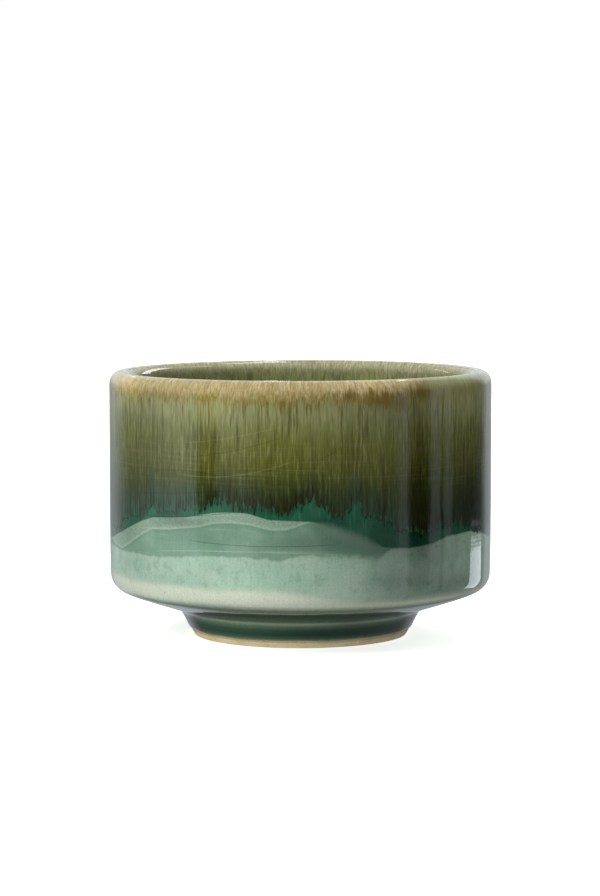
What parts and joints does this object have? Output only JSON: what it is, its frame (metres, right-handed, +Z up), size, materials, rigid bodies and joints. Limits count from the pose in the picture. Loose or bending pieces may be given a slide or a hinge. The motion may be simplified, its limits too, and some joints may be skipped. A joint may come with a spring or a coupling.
{
  "type": "brush holder pot",
  "caption": "Short straight-walled stoneware pot on a narrow bare foot ring, open at the top, with a running two-tone glaze, for standing brushes or pens in.",
  "frame": {"origin": "centre of the foot ring's resting face, on the pot's axis", "axes": "+Z up along the pot's axis; +X and +Y are across the pot, which is round, and -Y is the side that the reference view shows"},
  "size_m": [0.1, 0.1, 0.0694],
  "materials": {
    "stoneware": "matte",
    "lining_glaze": "gloss",
    "olive_glaze": "gloss",
    "celadon_glaze": "gloss",
    "recess_glaze": "gloss"
  },
  "bodies": {
    "root": {"stoneware_body": "stoneware", "lining_glaze": "lining_glaze", "olive_top_glaze": "olive_glaze", "celadon_base_glaze": "celadon_glaze", "foot_recess_glaze": "recess_glaze"}
  },
  "joints": []
}
